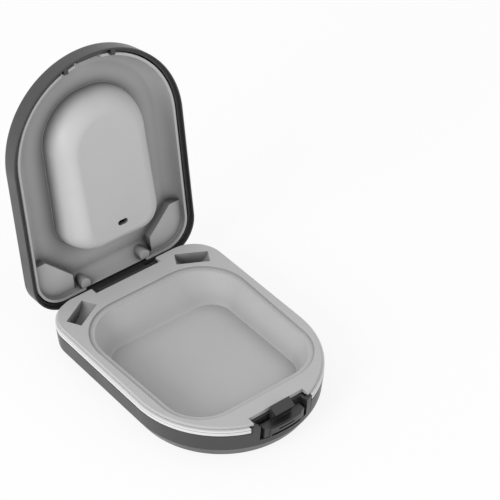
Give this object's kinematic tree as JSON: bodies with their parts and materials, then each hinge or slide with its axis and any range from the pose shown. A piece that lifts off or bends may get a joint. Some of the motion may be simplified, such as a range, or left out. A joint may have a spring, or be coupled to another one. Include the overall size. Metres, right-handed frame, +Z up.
{
  "type": "hearing aid case",
  "caption": "Hinged hard case for hearing aids: black shells, grey moulded tray with a well and button cell cradles, domed lid with a grey liner and a front snap latch.",
  "frame": {"origin": "middle of the flat underside of the base, midway between the latch end and the hinge end", "axes": "+Z up from the table, +Y towards the hinge, +X to the right of someone facing the latch; the lid stands open"},
  "size_m": [0.0682, 0.1147, 0.0981],
  "materials": {
    "shell_black": "satin black with a fine moulded grain",
    "liner_grey": "matte light grey",
    "trim_light": "satin near white",
    "pin_steel": "ground steel",
    "spring_steel": "drawn spring wire"
  },
  "bodies": {
    "base": {"base_shell": "shell_black", "inner_tray": "liner_grey", "trim_strip_right": "trim_light", "trim_strip_left": "trim_light", "hinge_pin": "pin_steel", "latch_pin": "pin_steel", "latch_spring": "spring_steel"},
    "latch_button": {"latch_button": "shell_black"},
    "lid": {"lid_shell": "shell_black", "lid_liner": "liner_grey"}
  },
  "joints": [
    {"name": "lid_hinge", "type": "hinge", "parent": "base", "child": "lid", "pos_m": [0, 0.0438, 0.01036], "axis": [1, 0, 0], "range_deg": [0, 97.1]},
    {"name": "latch_press", "type": "hinge", "parent": "base", "child": "latch_button", "pos_m": [0, -0.0404, 0.0043], "axis": [-1, 0, 0], "range_deg": [0, 5.5], "stiffness_Nm_per_rad": 0.2, "springref_deg": -2.86, "deforming": ["latch_spring"]}
  ]
}
